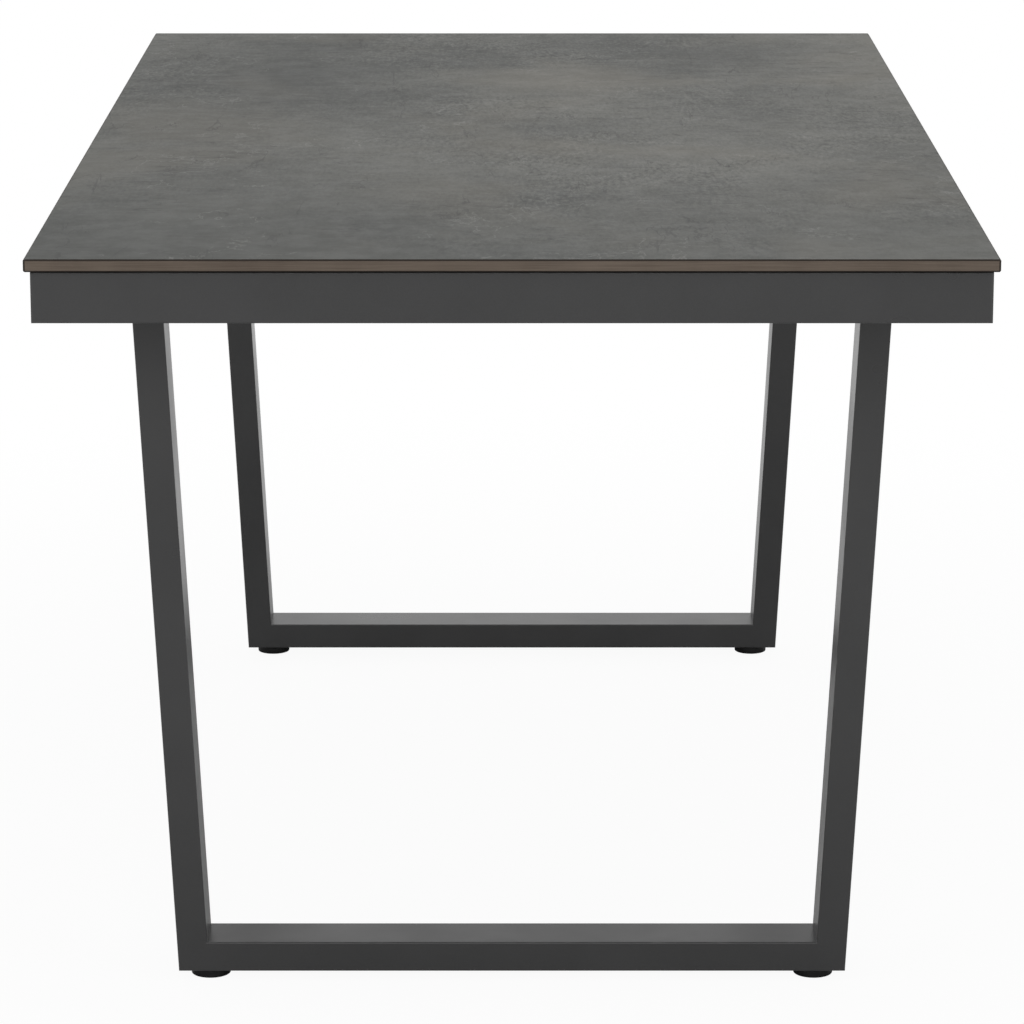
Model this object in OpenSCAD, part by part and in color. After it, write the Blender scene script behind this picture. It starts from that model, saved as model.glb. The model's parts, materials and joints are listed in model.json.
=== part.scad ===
// Extendable dining table on two closed leg frames.
// The top is one board. Under each end of it lies a draw leaf on a sliding carriage, and the
// end apron is the carriage's own fascia. Pulled out, a leaf lies one step below the top.
// +Z is up, X runs across the table and Y along it. The origin is on the floor, at the centre.

/* [Table top] */
// Width of the top
top_w = 900; // [800:10:1100]
// Length of the top with the leaves pushed in
top_l = 1600; // [1450:10:2000]
// Height of the top's surface above the floor
table_h = 755; // [700:5:800]
// Thickness of the top
top_t = 12; // [10:1:20]
// Chamfer along the edges of the top and the leaves
board_chamfer = 1.5; // [0.5:0.25:2.5]
// Radius of the top's upright corners
top_corner_r = 3; // [2:0.5:12]

/* [Leaves] */
// Travel of each leaf
travel = 500; // [300:10:560]
// Thickness of a leaf
leaf_t = 12; // [10:1:15]
// Length of leaf that stays under the top when it is pulled out
leaf_overlap = 30; // [15:1:60]
// Gap between a leaf and the side aprons
leaf_side_gap = 3; // [2:0.5:8]
// Gap between a leaf and the side aprons' upper flanges
leaf_gap = 1; // [0.5:0.25:2]
// Width of the battens that carry a leaf
batten_w = 40; // [30:1:60]
// Thickness of the battens
batten_t = 8; // [6:1:11]
// Distance of the inner batten from the leaf's inner edge
batten_inset = 40; // [20:1:80]

/* [Aprons] */
// Distance from the top's edge to the outer face of the aprons
apron_inset = 6; // [3:1:30]
// Height of the aprons
apron_h = 49; // [46:1:80]
// Wall of the side aprons
apron_wall = 3; // [2.5:0.5:4]
// Width of the side aprons' upper flanges
upper_flange_w = 30; // [24:1:45]
// Depth of the fascia tubes
fascia_d = 20; // [16:1:30]
// Wall of the fascia tubes
fascia_wall = 2; // [1.5:0.25:3]
// Gap between a fascia and the underside of the top
fascia_gap = 1; // [0.5:0.25:2]
// Thickness of the caps on the fascias' ends
cap_t = 2; // [1:0.5:4]
// Length of the plugs on those caps
cap_plug_l = 10; // [6:1:20]
// Gap between a closed fascia and the side aprons
closing_gap = 0.5; // [0.3:0.1:2]
// Width of the centre beam
beam_w = 36; // [30:1:60]
// Wall of the centre beam
beam_wall = 3; // [2:0.5:5]
// Thickness of the ties that join the side aprons over the legs
tie_t = 15; // [12:1:18]
// Width of the seat of a tie's end on a side apron's lower flange
tie_seat = 18; // [17:1:30]

/* [Carriages] */
// Width of the rails
rail_w = 28; // [24:1:40]
// Wall of the rails
rail_wall = 2.5; // [2:0.25:4]
// Gap between the rails and the side aprons' webs
rail_side_gap = 9; // [8:0.5:14]
// Thickness of the glides under the rails
glide_t = 3.7; // [2.5:0.1:5]
// Length of the glides
glide_l = 32; // [20:1:60]
// Length of the blocks on the rails' inner ends
tail_l = 40; // [30:1:80]
// Length of a block's plug inside its rail
tail_plug_l = 30; // [15:1:50]
// Length of the stops
stop_l = 15; // [12:1:30]
// Length of a corner bracket's arm
bracket_arm = 40; // [30:1:50]
// Thickness of the corner brackets
bracket_t = 3; // [2:0.5:4]
// Height of the corner brackets
bracket_h = 18; // [14:1:22]
// Distance from a bracket's corner to the hole in each arm
bracket_hole = 26; // [16:1:26]

/* [Leg frames] */
// Narrow side of the tube of the leg frames
tube_w = 30; // [26:1:40]
// Wide side of the tube of the leg frames
tube_d = 60; // [50:1:80]
// Wall of the tube of the leg frames
tube_wall = 2; // [1.5:0.25:3]
// Radius of the long edges of all tubes
tube_r = 1.5; // [1:0.25:3]
// Distance from the top's end to the outer face of a leg frame
leg_setback = 158; // [140:1:260]
// Distance from a side apron's outer face to the outer face of a leg's upper end
leg_inset = 79; // [72:1:120]
// Lean of the legs, in degrees from upright
leg_angle = 2.94; // [0:0.02:5]
// Thickness of the plates on the leg frames
plate_t = 5; // [4:0.5:8]
// Length of plate outside its bolts
plate_margin = 15; // [10:1:20]

/* [Feet] */
// Radius of the foot pads
pad_r = 19.5; // [16:0.5:28]
// Height of the foot pads
pad_h = 8; // [7:0.5:14]
// Chamfer around the foot pads
pad_chamfer = 1; // [0.5:0.25:2]
// Thickness of the sole under a stud's head
sole_t = 2.5; // [2:0.25:3]
// Distance of the feet's axes from the outer corner of a leg frame
foot_inset = 30; // [28:1:120]
// Radius of the threaded studs
stud_r = 4.95; // [3.95:0.5:4.95]
// Radius of a stud's head inside the pad
stud_head_r = 7; // [6.5:0.25:9]
// Thickness of a stud's head
stud_head_t = 3.3; // [2.5:0.1:3.3]
// Radius over the corners of a stud's hexagonal collar
collar_r = 9.8; // [9:0.1:11]
// Thickness of the collar
collar_t = 1.6; // [1.2:0.1:4]
// Radius of the threaded inserts in the floor rails
insert_r = 7; // [6.5:0.25:8.5]
// Length of the inserts inside the floor rails
insert_l = 18; // [15:1:20]
// Radius of the inserts' flanges
insert_flange_r = 9.5; // [9:0.25:12]
// Thickness of the inserts' flanges
insert_flange_t = 1; // [0.8:0.1:2]

/* [Fasteners] */
// Screws on each side that hold the top
top_screws_per_side = 6; // [4:2:10]
// Distance from a fascia to the nearest screw in the top
top_screw_end = 150; // [100:5:200]
// Screws in each batten that hold a leaf
leaf_screws_across = 4; // [2:1:6]
// Radius of the countersunk screws
csk_r = 2.5; // [2:0.5:2.5]
// Radius of the countersunk heads
csk_head_r = 4.6; // [4:0.1:4.8]
// Board left above the points of the countersunk screws
screw_cover = 3; // [2:0.5:4]
// Radius of the small screws
screw_r = 2; // [1.5:0.5:2]
// Radius of the small screws' heads
screw_head_r = 3.8; // [3.2:0.2:4]
// Height of the small screws' heads
screw_head_h = 2.4; // [1.6:0.2:3]
// Length of the small screws below their heads
screw_l = 17; // [12:1:20]
// Length of the brackets' screws below their heads
bracket_screw_l = 10; // [8:1:12]
// Radius of the bolts in the leg frames and the centre beam
bolt_r = 4; // [3:0.5:4]
// Radius over the corners of the bolts' hexagonal heads
bolt_head_r = 7.5; // [6.5:0.25:8]
// Height of the bolts' heads
bolt_head_h = 5.3; // [4:0.1:6]
// Distance between the two bolts at each end of a leg plate
bolt_pitch = 36; // [24:1:40]
// Thread of a leg bolt that is left free at the top of its tie
bolt_cover = 2; // [1:0.5:4]
// Length of the centre beam's bolts inside the beam
beam_bolt_reach = 11; // [6:1:16]

/* [Hidden] */
$fn = 64;

hole_gap = 0.1;        // around a fixed screw, bolt or plug
running_gap = 0.3;     // between the rails and their glides
thread_gap = 0.05;     // around a turning stud
tail_gap = 0.5;        // around a tail block in its channel
beam_clearance = 2;    // between the centre beam and the tail blocks
tie_clearance = 2;     // between the ties' ends and the rails
stop_clearance = 1;    // between the stops and the rails
stop_drop = 6;         // from the underside of a leaf down to the stops
glide_drop = 2;        // from the underside of a leaf down to the glides' side walls
batten_clearance = 14; // between an outer batten and the corner brackets
collar_gap = 0.2;      // above and below a stud's collar
head_gap = 0.1;        // above and below a stud's head
stud_clearance = 3;    // between a stud's tip and the tube above it
over = 1;              // by which a cut runs past a face

top_z = table_h - top_t;
half_w = top_w / 2 - apron_inset;
half_l = top_l / 2 - apron_inset;
fascia_y = half_l - fascia_d;
fascia_top_z = top_z - fascia_gap;
apron_end_y = fascia_y - closing_gap;
apron_z = top_z - apron_h;
web_x = half_w - apron_wall;
channel_z = apron_z + apron_wall;
flange_z = top_z - apron_wall;

leaf_top_z = flange_z - leaf_gap;
leaf_z = leaf_top_z - leaf_t;
leaf_half_w = web_x - leaf_side_gap;
leaf_y = top_l / 2 - leaf_overlap - travel;
leaf_l = fascia_y - leaf_y;
batten_z = leaf_z - batten_t;
inner_batten_y = leaf_y + batten_inset;
outer_batten_y = fascia_y - bracket_arm - batten_clearance - batten_w;

rail_x = web_x - rail_side_gap - rail_w;
rail_out_x = rail_x + rail_w;
rail_z = channel_z + glide_t + running_gap;
rail_h = leaf_z - rail_z;
tail_y = beam_w / 2 + beam_clearance;
rail_y = tail_y + tail_l;
lip_x = rail_out_x + running_gap;
channel_screw_x = (lip_x + web_x) / 2;
stop_y = rail_y + travel + tail_gap;
glide_y = apron_end_y - glide_l;
bracket_z = rail_z + (rail_h - bracket_h) / 2;

tie_half = rail_x - tie_clearance;
seat_x = tie_half - tie_seat;
bolt_x = (tie_half + seat_x) / 2;
frame_y = top_l / 2 - leg_setback - tube_d / 2;
plate_z = apron_z - plate_t;
plate_half = bolt_x + plate_margin;

pad_top_z = pad_h;
collar_z = pad_top_z + collar_gap;
insert_z = collar_z + collar_t + collar_gap;
frame_z = insert_z + insert_flange_t;
leg_top_x = half_w - leg_inset;
corner_x = leg_top_x - (apron_z - frame_z) * tan(leg_angle);
foot_x = corner_x - foot_inset;
stud_z = sole_t + head_gap;
stud_top_z = frame_z + tube_w - tube_wall - stud_clearance;
socket_z = sole_t + stud_head_t + 2 * head_gap;
bore_r = stud_r + thread_gap;

// The mitre between a leg and its floor rail halves the corner's angle.
mitre = (90 - leg_angle) / 2;
mitre_reach = 2 * tube_w / cos(mitre);
mitre_tip = [corner_x - mitre_reach * sin(mitre), frame_z + mitre_reach * cos(mitre)];

top_screw_step = 2 * (fascia_y - top_screw_end) / (top_screws_per_side - 1);
top_screw_ys = [for (i = [0:top_screws_per_side - 1])
    (i - (top_screws_per_side - 1) / 2) * top_screw_step];
top_screw_x = half_w - upper_flange_w / 2;
leaf_screw_xs = [for (i = [0:leaf_screws_across - 1])
    ((2 * i + 1) / leaf_screws_across - 1) * rail_x];
batten_ys = [inner_batten_y + batten_w / 2, outer_batten_y + batten_w / 2];
beam_bolt_xs = [seat_x + tie_seat / 2, web_x - tie_seat];

board_colour = [0.44, 0.44, 0.43];
frame_colour = [0.27, 0.27, 0.27];
plastic_colour = [0.1, 0.1, 0.1];
steel_colour = [0.62, 0.62, 0.63];

// ---------------------------------------------------------------- shared shapes

// Places a piece that is drawn at the right and rear: side -1 is left, end -1 is front.
module at(side, end) {
    mirror([0, end < 0 ? 1 : 0, 0])
        mirror([side < 0 ? 1 : 0, 0, 0])
            children();
}

module all_four() {
    for (side = [-1, 1], end = [-1, 1]) at(side, end) children();
}

// Box from one corner to the opposite one.
module box(low, high) {
    translate(low) cube(high - low);
}

// Rectangle with round corners, centred.
module round_rect(w, d, r) {
    square([w - 2 * r, d], center = true);
    square([w, d - 2 * r], center = true);
    for (x = [-1, 1], y = [-1, 1])
        translate([x * (w / 2 - r), y * (d / 2 - r)]) circle(r);
}

// Section of a tube, centred. Its inner corners are sharp.
module tube_section(w, d, wall, r) {
    difference() {
        round_rect(w, d, r);
        square([w - 2 * wall, d - 2 * wall], center = true);
    }
}

// Rectangle with its four corners cut off, centred.
module chamfered_rect(w, d, c) {
    polygon([
        [-w / 2 + c, -d / 2], [w / 2 - c, -d / 2], [w / 2, -d / 2 + c], [w / 2, d / 2 - c],
        [w / 2 - c, d / 2], [-w / 2 + c, d / 2], [-w / 2, d / 2 - c], [-w / 2, -d / 2 + c]
    ]);
}

// Board with chamfered long edges and round upright corners, centred, its underside at 0.
module board(w, l, t, c, r) {
    translate([0, 0, t / 2])
        intersection() {
            linear_extrude(t + 2 * over, center = true) round_rect(w, l, r);
            rotate([90, 0, 0]) linear_extrude(l + 2 * over, center = true) chamfered_rect(w, t, c);
            rotate([90, 0, 90]) linear_extrude(w + 2 * over, center = true) chamfered_rect(l, t, c);
        }
}

// Outline drawn in X and Z, extruded both ways along Y.
module along_y(l) {
    rotate([90, 0, 0]) linear_extrude(l, center = true) children();
}

// Countersunk screw that points up, its head flush at 0. A gap makes it a hole.
module csk_screw(l, gap = 0) {
    cone_h = csk_head_r - csk_r;
    translate([0, 0, gap > 0 ? -over : 0])
        cylinder(h = l + gap + (gap > 0 ? over : 0), r = csk_r + gap);
    cylinder(h = cone_h, r1 = csk_head_r + gap, r2 = csk_r + gap);
}

// Small screw that points up, with its head below 0.
module small_screw(l) {
    cylinder(h = l, r = screw_r);
    translate([0, 0, -screw_head_h]) cylinder(h = screw_head_h, r = screw_head_r);
}

// Hexagonal bolt that points up, with its head below 0.
module hex_bolt(l) {
    cylinder(h = l, r = bolt_r);
    translate([0, 0, -bolt_head_h]) cylinder(h = bolt_head_h, r = bolt_head_r, $fn = 6);
}

// Upright hole of a given radius between two heights, run past both.
module upright_hole(r, z0, z1) {
    translate([0, 0, z0 - over]) cylinder(h = z1 - z0 + 2 * over, r = r);
}

// Places of the fasteners and feet.
module at_top_screws() {
    for (side = [-1, 1], y = top_screw_ys)
        translate([side * top_screw_x, y, flange_z]) children();
}

module at_leaf_screws() {
    for (x = leaf_screw_xs, y = batten_ys) translate([x, y, batten_z]) children();
}

module at_glide_screw() {
    translate([channel_screw_x, glide_y + glide_l / 2, apron_z]) children();
}

module at_stop_screw() {
    translate([channel_screw_x, stop_y + stop_l / 2, apron_z]) children();
}

module at_leg_bolts() {
    for (y = [-1, 1]) translate([bolt_x, frame_y + y * bolt_pitch / 2, plate_z]) children();
}

module at_beam_bolts() {
    for (x = beam_bolt_xs) translate([x, 0, apron_z]) children();
}

// ---------------------------------------------------------------- fixed frame

module main_top() {
    color(board_colour)
        difference() {
            translate([0, 0, top_z]) board(top_w, top_l, top_t, board_chamfer, top_corner_r);
            at_top_screws() csk_screw(apron_wall + top_t - screw_cover, hole_gap);
        }
}

// C-shaped channel, open towards the inside of the table.
module side_apron(side) {
    color(frame_colour)
        at(side, 1)
            difference() {
                along_y(2 * apron_end_y) side_apron_section();
                at_top_screws() csk_screw(apron_wall + top_t, hole_gap);
                at_beam_bolts() upright_hole(bolt_r + hole_gap, 0, apron_wall);
                for (end = [-1, 1]) at(1, end) {
                    at_glide_screw() upright_hole(screw_r + hole_gap, 0, apron_wall);
                    at_stop_screw() upright_hole(screw_r + hole_gap, 0, apron_wall);
                    at_leg_bolts() upright_hole(bolt_r + hole_gap, plate_t, plate_t + apron_wall);
                }
            }
}

module side_apron_section() {
    mid_x = (seat_x + half_w) / 2;
    difference() {
        translate([mid_x, apron_z + apron_h / 2]) round_rect(half_w - seat_x, apron_h, tube_r);
        translate([seat_x - over, channel_z]) square([web_x - seat_x + over, flange_z - channel_z]);
        translate([seat_x - over, flange_z - over])
            square([half_w - upper_flange_w - seat_x + over, apron_wall + 2 * over]);
    }
}

module centre_beam() {
    color(frame_colour)
        difference() {
            box([-web_x, -beam_w / 2, channel_z], [web_x, beam_w / 2, top_z]);
            box([-web_x - over, -beam_w / 2 + beam_wall, channel_z + beam_wall],
                [web_x + over, beam_w / 2 - beam_wall, flange_z - beam_wall]);
            for (side = [-1, 1]) at(side, 1) {
                box([half_w - upper_flange_w, -beam_w / 2 - over, flange_z],
                    [web_x + over, beam_w / 2 + over, top_z + over]);
                at_beam_bolts() upright_hole(bolt_r + hole_gap, apron_wall, apron_wall + beam_wall);
            }
        }
}

module tie(end) {
    color(frame_colour)
        at(1, end)
            difference() {
                box([-tie_half, frame_y - tube_d / 2, channel_z],
                    [tie_half, frame_y + tube_d / 2, channel_z + tie_t]);
                for (side = [-1, 1]) at(side, 1)
                    at_leg_bolts() upright_hole(bolt_r + hole_gap, plate_t + apron_wall,
                        plate_t + apron_wall + tie_t - bolt_cover - over + hole_gap);
            }
}

// Leaning tube, cut level at the plate and mitred at the floor rail.
module leg(side, end) {
    tube_l = (plate_z - frame_z + tube_w) / cos(leg_angle);
    color(frame_colour)
        at(side, end)
            translate([0, frame_y, 0])
                intersection() {
                    translate([corner_x, 0, frame_z])
                        rotate([0, leg_angle, 0])
                            translate([-tube_w / 2, 0, -tube_w])
                                linear_extrude(tube_l + 2 * tube_w)
                                    tube_section(tube_w, tube_d, tube_wall, tube_r);
                    along_y(2 * tube_d)
                        polygon([
                            [corner_x, frame_z], [half_w, frame_z], [half_w, plate_z],
                            [mitre_tip[0], plate_z], mitre_tip
                        ]);
                }
}

module floor_rail(end) {
    color(frame_colour)
        at(1, end)
            translate([0, frame_y, 0])
                difference() {
                    intersection() {
                        translate([-corner_x - over, 0, frame_z + tube_w / 2])
                            rotate([90, 0, 90])
                                linear_extrude(2 * (corner_x + over))
                                    tube_section(tube_d, tube_w, tube_wall, tube_r);
                        along_y(2 * tube_d)
                            polygon([
                                [-corner_x, frame_z], [corner_x, frame_z],
                                mitre_tip, [-mitre_tip[0], mitre_tip[1]]
                            ]);
                    }
                    for (x = [-foot_x, foot_x])
                        translate([x, 0, 0])
                            upright_hole(insert_r + hole_gap, frame_z, frame_z + tube_wall);
                }
}

module leg_plate(end) {
    color(frame_colour)
        at(1, end)
            difference() {
                box([-plate_half, frame_y - tube_d / 2, plate_z],
                    [plate_half, frame_y + tube_d / 2, apron_z]);
                for (side = [-1, 1]) at(side, 1)
                    at_leg_bolts() upright_hole(bolt_r + hole_gap, 0, plate_t);
            }
}

// Sole under a rail with a side wall that keeps the rail off the web.
module glide(side, end) {
    color(plastic_colour)
        at(side, end)
            difference() {
                union() {
                    box([rail_x, glide_y, channel_z], [web_x, apron_end_y, channel_z + glide_t]);
                    box([lip_x, glide_y, channel_z], [web_x, apron_end_y, leaf_z - glide_drop]);
                }
                at_glide_screw() upright_hole(screw_r + hole_gap, apron_wall, screw_l);
            }
}

module stop(side, end) {
    color(plastic_colour)
        at(side, end)
            difference() {
                box([rail_out_x + stop_clearance, stop_y, channel_z],
                    [web_x, stop_y + stop_l, leaf_z - stop_drop]);
                at_stop_screw() upright_hole(screw_r + hole_gap, apron_wall, screw_l);
            }
}

// Threaded inserts of the feet: a flange under the floor rail and a sleeve inside it.
module foot_inserts() {
    color(steel_colour)
        all_four()
            translate([foot_x, frame_y, 0])
                difference() {
                    union() {
                        translate([0, 0, insert_z]) cylinder(h = insert_flange_t, r = insert_flange_r);
                        translate([0, 0, frame_z]) cylinder(h = insert_l, r = insert_r);
                    }
                    upright_hole(bore_r, insert_z, frame_z + insert_l);
                }
}

module top_screws() {
    color(steel_colour) at_top_screws() csk_screw(apron_wall + top_t - screw_cover);
}

module glide_screws() {
    color(steel_colour) all_four() at_glide_screw() small_screw(screw_l);
}

module stop_screws() {
    color(steel_colour) all_four() at_stop_screw() small_screw(screw_l);
}

module leg_bolts() {
    color(steel_colour)
        all_four() at_leg_bolts() hex_bolt(plate_t + apron_wall + tie_t - bolt_cover);
}

module beam_bolts() {
    color(steel_colour)
        for (side = [-1, 1]) at(side, 1) at_beam_bolts() hex_bolt(apron_wall + beam_bolt_reach);
}

// ---------------------------------------------------------------- carriages

module leaf(end) {
    color(board_colour)
        at(1, end)
            difference() {
                translate([0, leaf_y + leaf_l / 2, leaf_z])
                    board(2 * leaf_half_w, leaf_l, leaf_t, board_chamfer, top_corner_r);
                at_leaf_screws() csk_screw(batten_t + leaf_t - screw_cover, hole_gap);
            }
}

module fascia(end) {
    fascia_h = fascia_top_z - apron_z;
    color(frame_colour)
        at(1, end)
            difference() {
                translate([-half_w + cap_t, fascia_y + fascia_d / 2, apron_z + fascia_h / 2])
                    rotate([90, 0, 90])
                        linear_extrude(2 * (half_w - cap_t))
                            tube_section(fascia_d, fascia_h, fascia_wall, tube_r);
                for (side = [-1, 1]) at(side, 1)
                    at_fascia_screw() upright_hole(screw_r + hole_gap, bracket_t, bracket_t + fascia_wall);
            }
}

// Caps with a plug inside each end of the fascia's tube.
module fascia_caps(end) {
    fascia_h = fascia_top_z - apron_z;
    plug_w = fascia_d - 2 * fascia_wall - 2 * hole_gap;
    plug_h = fascia_h - 2 * fascia_wall - 2 * hole_gap;
    color(frame_colour)
        for (side = [-1, 1]) at(side, end)
            translate([half_w - cap_t, fascia_y + fascia_d / 2, apron_z + fascia_h / 2])
                rotate([90, 0, 90]) {
                    linear_extrude(cap_t) round_rect(fascia_d, fascia_h, tube_r);
                    translate([0, 0, -cap_plug_l])
                        linear_extrude(cap_plug_l) square([plug_w, plug_h], center = true);
                }
}

module rail(side, end) {
    color(frame_colour)
        at(side, end)
            difference() {
                translate([rail_x + rail_w / 2, (rail_y + fascia_y) / 2, rail_z + rail_h / 2])
                    along_y(fascia_y - rail_y) tube_section(rail_w, rail_h, rail_wall, tube_r);
                at_rail_screw() upright_hole(screw_r + hole_gap, bracket_t, bracket_t + rail_wall);
            }
}

module batten(end, y) {
    color(frame_colour)
        at(1, end)
            difference() {
                box([-rail_x, y, batten_z], [rail_x, y + batten_w, leaf_z]);
                at_leaf_screws() csk_screw(batten_t + over, hole_gap);
            }
}

// Block that closes a rail's inner end and runs between the apron's two flanges.
module tail_block(side, end) {
    plug_w = rail_w - 2 * rail_wall - 2 * hole_gap;
    plug_h = rail_h - 2 * rail_wall - 2 * hole_gap;
    color(plastic_colour)
        at(side, end) {
            box([rail_x, tail_y, channel_z + tail_gap], [web_x - tail_gap, rail_y, flange_z - tail_gap]);
            translate([rail_x + rail_w / 2, rail_y + tail_plug_l / 2, rail_z + rail_h / 2])
                along_y(tail_plug_l) square([plug_w, plug_h], center = true);
        }
}

// Angle bracket in the corner between a rail and the fascia.
module corner_brackets(end) {
    color(steel_colour)
        for (side = [-1, 1]) at(side, end)
            difference() {
                union() {
                    box([rail_x - bracket_t, fascia_y - bracket_arm, bracket_z],
                        [rail_x, fascia_y, bracket_z + bracket_h]);
                    box([rail_x - bracket_arm, fascia_y - bracket_t, bracket_z],
                        [rail_x, fascia_y, bracket_z + bracket_h]);
                }
                at_rail_screw() upright_hole(screw_r + hole_gap, 0, bracket_t);
                at_fascia_screw() upright_hole(screw_r + hole_gap, 0, bracket_t);
            }
}

// Places of a bracket's two screws: each starts on the bracket and points into its tube.
module at_rail_screw() {
    translate([rail_x - bracket_t, fascia_y - bracket_hole, bracket_z + bracket_h / 2])
        rotate([0, 90, 0]) children();
}

module at_fascia_screw() {
    translate([rail_x - bracket_hole, fascia_y - bracket_t, bracket_z + bracket_h / 2])
        rotate([-90, 0, 0]) children();
}

module leaf_screws(end) {
    color(steel_colour)
        at(1, end) at_leaf_screws() csk_screw(batten_t + leaf_t - screw_cover);
}

module bracket_screws(end) {
    color(steel_colour)
        for (side = [-1, 1]) at(side, end) {
            at_rail_screw() small_screw(bracket_screw_l);
            at_fascia_screw() small_screw(bracket_screw_l);
        }
}

// ---------------------------------------------------------------- feet

// Pad with a socket that holds the stud's head and lets it turn.
module foot_pad(side, end) {
    color(plastic_colour)
        at(side, end)
            translate([foot_x, frame_y, 0])
                rotate_extrude()
                    polygon([
                        [0, 0], [pad_r - pad_chamfer, 0], [pad_r, pad_chamfer],
                        [pad_r, pad_h - pad_chamfer], [pad_r - pad_chamfer, pad_h],
                        [bore_r, pad_h], [bore_r, socket_z],
                        [stud_head_r + thread_gap, socket_z], [stud_head_r + thread_gap, sole_t],
                        [0, sole_t]
                    ]);
}

module foot_stud(side, end) {
    color(steel_colour)
        at(side, end)
            translate([foot_x, frame_y, 0]) {
                translate([0, 0, stud_z]) cylinder(h = stud_head_t, r = stud_head_r);
                translate([0, 0, stud_z]) cylinder(h = stud_top_z - stud_z, r = stud_r);
                translate([0, 0, collar_z]) cylinder(h = collar_t, r = collar_r, $fn = 6);
            }
}

// ---------------------------------------------------------------- nodes

main_top();
side_apron(-1);  // side_apron_left
side_apron(1);  // side_apron_right
centre_beam();
tie(-1);  // tie_front
tie(1);  // tie_rear
leg(-1, -1);  // leg_front_left
leg(1, -1);  // leg_front_right
leg(-1, 1);  // leg_rear_left
leg(1, 1);  // leg_rear_right
floor_rail(-1);  // floor_rail_front
floor_rail(1);  // floor_rail_rear
leg_plate(-1);  // leg_plate_front
leg_plate(1);  // leg_plate_rear
glide(-1, -1);  // glide_front_left
glide(1, -1);  // glide_front_right
glide(-1, 1);  // glide_rear_left
glide(1, 1);  // glide_rear_right
stop(-1, -1);  // stop_front_left
stop(1, -1);  // stop_front_right
stop(-1, 1);  // stop_rear_left
stop(1, 1);  // stop_rear_right
foot_inserts();
top_screws();
glide_screws();
stop_screws();
leg_bolts();
beam_bolts();
leaf(-1);  // leaf_front
fascia(-1);  // fascia_front
fascia_caps(-1);  // fascia_caps_front
rail(-1, -1);  // rail_front_left
rail(1, -1);  // rail_front_right
batten(-1, inner_batten_y);  // inner_batten_front
batten(-1, outer_batten_y);  // outer_batten_front
tail_block(-1, -1);  // tail_block_front_left
tail_block(1, -1);  // tail_block_front_right
corner_brackets(-1);  // corner_brackets_front
leaf_screws(-1);  // leaf_screws_front
bracket_screws(-1);  // bracket_screws_front
leaf(1);  // leaf_rear
fascia(1);  // fascia_rear
fascia_caps(1);  // fascia_caps_rear
rail(-1, 1);  // rail_rear_left
rail(1, 1);  // rail_rear_right
batten(1, inner_batten_y);  // inner_batten_rear
batten(1, outer_batten_y);  // outer_batten_rear
tail_block(-1, 1);  // tail_block_rear_left
tail_block(1, 1);  // tail_block_rear_right
corner_brackets(1);  // corner_brackets_rear
leaf_screws(1);  // leaf_screws_rear
bracket_screws(1);  // bracket_screws_rear
foot_pad(-1, -1);  // foot_pad_front_left
foot_pad(1, -1);  // foot_pad_front_right
foot_pad(-1, 1);  // foot_pad_rear_left
foot_pad(1, 1);  // foot_pad_rear_right
foot_stud(-1, -1);  // foot_stud_front_left
foot_stud(1, -1);  // foot_stud_front_right
foot_stud(-1, 1);  // foot_stud_rear_left
foot_stud(1, 1);  // foot_stud_rear_right
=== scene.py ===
import json
import math

import bmesh
import bpy
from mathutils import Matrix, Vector


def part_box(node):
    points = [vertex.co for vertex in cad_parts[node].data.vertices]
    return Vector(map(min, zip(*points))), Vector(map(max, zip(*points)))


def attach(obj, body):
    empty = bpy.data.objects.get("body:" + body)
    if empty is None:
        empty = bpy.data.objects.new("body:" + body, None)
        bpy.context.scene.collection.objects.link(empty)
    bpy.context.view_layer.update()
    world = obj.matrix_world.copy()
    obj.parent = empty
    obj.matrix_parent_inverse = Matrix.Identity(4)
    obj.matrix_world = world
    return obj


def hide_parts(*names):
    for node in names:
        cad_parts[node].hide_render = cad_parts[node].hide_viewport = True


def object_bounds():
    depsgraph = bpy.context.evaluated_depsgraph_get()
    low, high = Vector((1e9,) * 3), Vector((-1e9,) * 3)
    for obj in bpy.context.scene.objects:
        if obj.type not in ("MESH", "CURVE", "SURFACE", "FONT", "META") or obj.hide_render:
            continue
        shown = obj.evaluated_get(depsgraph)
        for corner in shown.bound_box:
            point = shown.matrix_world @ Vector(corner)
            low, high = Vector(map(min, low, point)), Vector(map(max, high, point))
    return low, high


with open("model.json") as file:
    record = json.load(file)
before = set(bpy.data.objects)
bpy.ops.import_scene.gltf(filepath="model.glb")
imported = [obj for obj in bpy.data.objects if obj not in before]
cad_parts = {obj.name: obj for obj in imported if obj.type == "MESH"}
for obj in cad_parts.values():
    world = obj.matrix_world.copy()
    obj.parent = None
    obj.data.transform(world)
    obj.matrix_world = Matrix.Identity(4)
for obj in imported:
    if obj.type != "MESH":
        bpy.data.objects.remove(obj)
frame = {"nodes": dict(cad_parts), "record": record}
cad_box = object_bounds()
FLOOR_GAP = 0.0003  # from the feet down to the studio floor


# ---------------------------------------------------------------- node helpers


def new_tree(name):
    """A new material's node tree and its Principled shader."""
    material = bpy.data.materials.new(name)
    material.use_nodes = True
    tree = material.node_tree
    return material, tree, tree.nodes["Principled BSDF"]


def plug(tree, socket, value):
    """Links the socket where value is another socket, and otherwise sets it."""
    if isinstance(value, bpy.types.NodeSocket):
        tree.links.new(value, socket)
    else:
        socket.default_value = value


def add(tree, kind, inputs=None, **settings):
    """A new node with its settings and inputs."""
    node = tree.nodes.new(kind)
    for key, value in settings.items():
        setattr(node, key, value)
    for key, value in (inputs or {}).items():
        plug(tree, node.inputs[key], value)
    return node


def maths(tree, operation, a, b=0.5):
    """One Math node's result."""
    return add(tree, "ShaderNodeMath", {0: a, 1: b}, operation=operation).outputs[0]


def plus(tree, a, b):
    """a + b."""
    return maths(tree, "ADD", a, b)


def minus(tree, a, b):
    """a - b."""
    return maths(tree, "SUBTRACT", a, b)


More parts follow.
